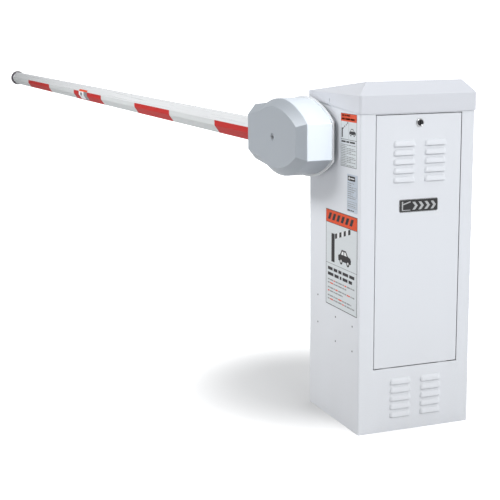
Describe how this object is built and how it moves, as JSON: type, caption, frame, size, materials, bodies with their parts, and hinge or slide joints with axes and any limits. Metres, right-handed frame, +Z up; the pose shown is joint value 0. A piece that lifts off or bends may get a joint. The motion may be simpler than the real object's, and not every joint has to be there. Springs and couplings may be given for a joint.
{
  "type": "parking barrier gate",
  "caption": "Electric parking barrier: sheet-metal cabinet with service door and drive, and a long striped arm that swings up from a covered side hub.",
  "frame": {"origin": "centre of the cabinet's footprint on the ground, which is the centre of the four anchor holes at the base plate's underside", "axes": "+Z up, +X out of the service door, -Y out of the side that carries the arm; the lowered arm points along -X"},
  "size_m": [5.284, 0.495, 1.036],
  "materials": {
    "cabinet_paint": "smooth white powder coat",
    "lid_paint": "smooth white powder coat",
    "frame_paint": "satin grey primer",
    "zinc_plate": "bright zinc",
    "fasteners": "zinc plated",
    "cast_blue_grey": "painted casting",
    "motor_paint": "dark grey enamel",
    "shaft_steel": "turned steel",
    "forged_steel": "forged, oiled",
    "pulley_iron": "turned casting",
    "belt_rubber": "matte",
    "bumper_rubber": "matte",
    "sensor_body": "nickel plated",
    "board_green": "solder mask",
    "black_plastic": "moulded",
    "switch_red": "moulded",
    "sign_face": "printed film",
    "rating_foil": "satin foil",
    "badge_face": "moulded, silver relief",
    "lock_chrome": "polished",
    "cam_steel": "zinc plated",
    "hub_shell": "smooth pale grey",
    "hub_back_white": "smooth white",
    "arm_white": "white anodised extrusion",
    "tape_red": "retroreflective film",
    "tape_white": "retroreflective film",
    "cap_grey": "moulded"
  },
  "bodies": {
    "cabinet": {"base_frame": "frame_paint", "arm_side_panel": "cabinet_paint", "far_side_panel": "cabinet_paint", "front_panel": "cabinet_paint", "back_panel": "cabinet_paint", "door_frame": "frame_paint", "lid_hood": "lid_paint", "lid_screws": "fasteners", "drive_shelf": "zinc_plate", "shelf_rivets": "fasteners", "bearing_plates": "frame_paint", "shaft_bearings": "cast_blue_grey", "bearing_bolts": "fasteners", "reducer_table": "zinc_plate", "gear_reducer": "cast_blue_grey", "drive_motor": "motor_paint", "drive_bolts": "fasteners", "drive_belt": "belt_rubber", "control_box": "zinc_plate", "control_cover": "zinc_plate", "control_board": "board_green", "switch_body": "black_plastic", "sensor_bracket": "frame_paint", "limit_sensors": "sensor_body", "stop_brackets": "frame_paint", "stop_bumpers": "bumper_rubber", "gate_sign": "sign_face", "notice_sign": "sign_face", "rating_plate": "rating_foil"},
    "door": {"service_door": "cabinet_paint", "lock_barrel": "lock_chrome", "lock_nut": "fasteners", "badge_plate": "badge_face"},
    "lock": {"lock_plug": "lock_chrome", "lock_cam": "cam_steel"},
    "switch": {"switch_rocker": "switch_red"},
    "arm": {"main_shaft": "shaft_steel", "shaft_key": "shaft_steel", "arm_bracket": "zinc_plate", "clamp_plate": "zinc_plate", "clamp_bolts": "fasteners", "hub_backplate": "hub_back_white", "hub_cover": "hub_shell", "cover_screw": "fasteners", "arm_tube": "arm_white", "red_tape": "tape_red", "white_tape": "tape_white", "arm_end_cap": "cap_grey", "arm_label": "sign_face", "shaft_lever": "forged_steel", "limit_cams": "forged_steel", "stop_arm": "forged_steel"},
    "crank": {"output_shaft": "shaft_steel", "reducer_crank": "forged_steel"},
    "rod": {"rod_ends": "forged_steel", "connecting_rod": "shaft_steel", "rod_nuts": "fasteners"},
    "worm": {"input_shaft": "shaft_steel", "reducer_pulley": "pulley_iron"},
    "rotor": {"motor_rotor": "pulley_iron"}
  },
  "joints": [
    {"name": "arm_lift", "type": "hinge", "parent": "cabinet", "child": "arm", "pos_m": [-0.04, -0.05, 0.858], "axis": [0, 1, 0], "range_deg": [0, 90]},
    {"name": "crank_turn", "type": "hinge", "parent": "cabinet", "child": "crank", "pos_m": [-0.04, 0, 0.52], "axis": [0, 1, 0], "range_deg": [0, 90]},
    {"name": "rod_pivot", "type": "hinge", "parent": "crank", "child": "rod", "pos_m": [0.02364, 0.059, 0.58364], "axis": [0, 1, 0], "range_deg": [-90, 0]},
    {"name": "worm_turn", "type": "hinge", "parent": "cabinet", "child": "worm", "pos_m": [0.05, -0.05, 0.455], "axis": [1, 0, 0], "range_deg": [0, 5400]},
    {"name": "rotor_turn", "type": "hinge", "parent": "cabinet", "child": "rotor", "pos_m": [0.05, -0.05, 0.308], "axis": [1, 0, 0], "range_deg": [0, 10462.5]},
    {"name": "door_tilt", "type": "hinge", "parent": "cabinet", "child": "door", "pos_m": [0.1775, 0.003, 0.1975], "axis": [0, 1, 0], "range_deg": [0, 35]},
    {"name": "lock_turn", "type": "hinge", "parent": "door", "child": "lock", "pos_m": [0.1775, 0.004, 0.9175], "axis": [1, 0, 0], "range_deg": [0, 90]},
    {"name": "switch_rock", "type": "hinge", "parent": "cabinet", "child": "switch", "pos_m": [0.138, 0.13, 0.73], "axis": [0, 1, 0], "range_deg": [0, 14]}
  ],
  "couplings": [
    {"joint": "crank_turn", "follows": "arm_lift", "ratio": 1},
    {"joint": "rod_pivot", "follows": "arm_lift", "ratio": -1},
    {"joint": "worm_turn", "follows": "arm_lift", "ratio": 60},
    {"joint": "rotor_turn", "follows": "arm_lift", "ratio": 116.25}
  ]
}
